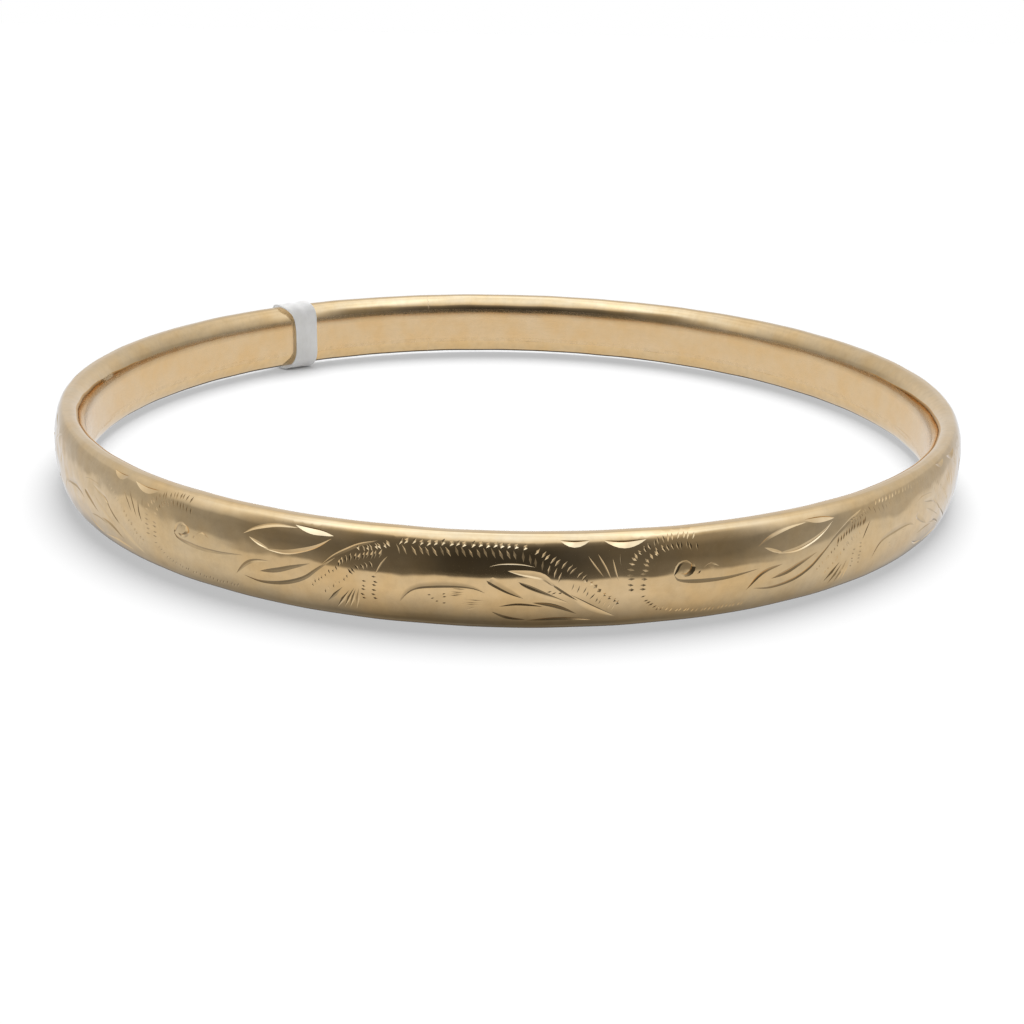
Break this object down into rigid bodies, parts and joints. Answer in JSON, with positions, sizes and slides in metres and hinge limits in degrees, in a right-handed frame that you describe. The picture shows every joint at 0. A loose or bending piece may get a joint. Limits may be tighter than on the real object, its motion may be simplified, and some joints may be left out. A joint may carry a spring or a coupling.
{
  "type": "bangle bracelet",
  "caption": "Closed round slip-on gold bangle, hollow, with a domed outer face, a flat inner face and a tag loop that slides round it.",
  "frame": {"origin": "on the ring's axis, at the height of the tag loop's underside, which is the lowest surface", "axes": "+Z along the ring's axis, upwards; -Y towards the front of the bangle; +X to its right"},
  "size_m": [0.067, 0.067, 0.0062],
  "materials": {
    "polished_gold": "9 ct yellow gold, polished and worn, hand-engraved",
    "satin_gold": "9 ct yellow gold, satin from wear",
    "gold_solder": "yellow gold solder, filed flush",
    "white_strap": "soft white tag strap, slightly translucent"
  },
  "bodies": {
    "bangle": {"outer_shell": "polished_gold", "inner_liner": "satin_gold", "upper_edge_solder": "gold_solder", "lower_edge_solder": "gold_solder", "shell_joint_solder": "gold_solder", "liner_joint_solder": "gold_solder"},
    "tag": {"tag_loop": "white_strap"}
  },
  "joints": [
    {"name": "tag_slides_round", "type": "hinge", "parent": "bangle", "child": "tag", "pos_m": [0, 0, 0.0031], "axis": [0, 0, 1], "continuous": true}
  ]
}
